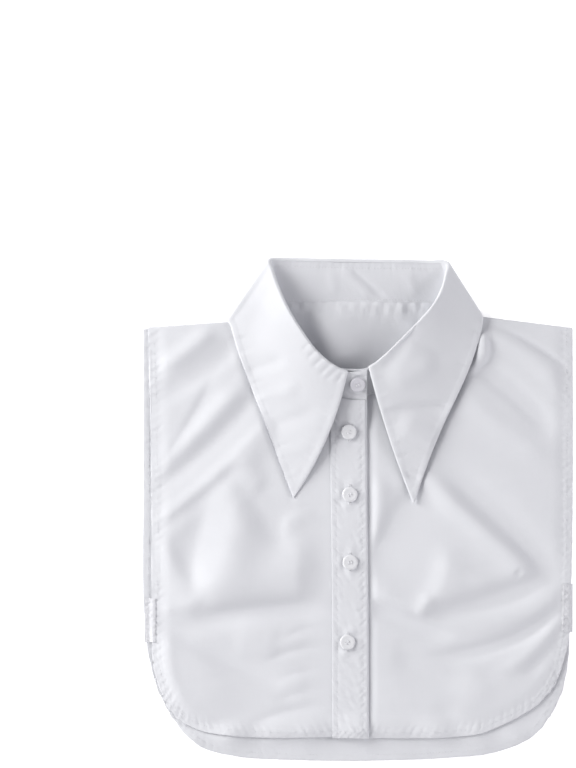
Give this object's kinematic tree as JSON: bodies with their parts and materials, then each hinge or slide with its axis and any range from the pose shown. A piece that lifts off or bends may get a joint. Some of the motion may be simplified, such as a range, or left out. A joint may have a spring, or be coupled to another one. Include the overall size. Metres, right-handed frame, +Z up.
{
  "type": "detachable shirt collar",
  "caption": "White detachable shirt collar with long points on a short buttoned bib front and back, laid flat, worn under a sweater.",
  "frame": {"origin": "centre of the plan bounding box of the laid garment, on the surface that it rests on", "axes": "+Z up out of the surface, +Y from the hem to the neck, +X to the right of a viewer above the front; the wearer's right is on -X"},
  "size_m": [0.3227, 0.3784, 0.0237],
  "materials": {
    "white_poplin": "matte white cotton poplin with a fine plain weave",
    "white_tape": "white woven side tape",
    "button_white": "white shirt button, softly polished"
  },
  "bodies": {
    "root": {"back_panel": "white_poplin", "front_left": "white_poplin", "front_right": "white_poplin", "placket": "white_poplin", "collar_stand": "white_poplin", "collar_leaf": "white_poplin", "side_strap_left": "white_tape", "side_strap_right": "white_tape", "button_1": "button_white", "button_2": "button_white", "button_3": "button_white", "button_4": "button_white", "button_stand": "button_white"}
  },
  "joints": []
}
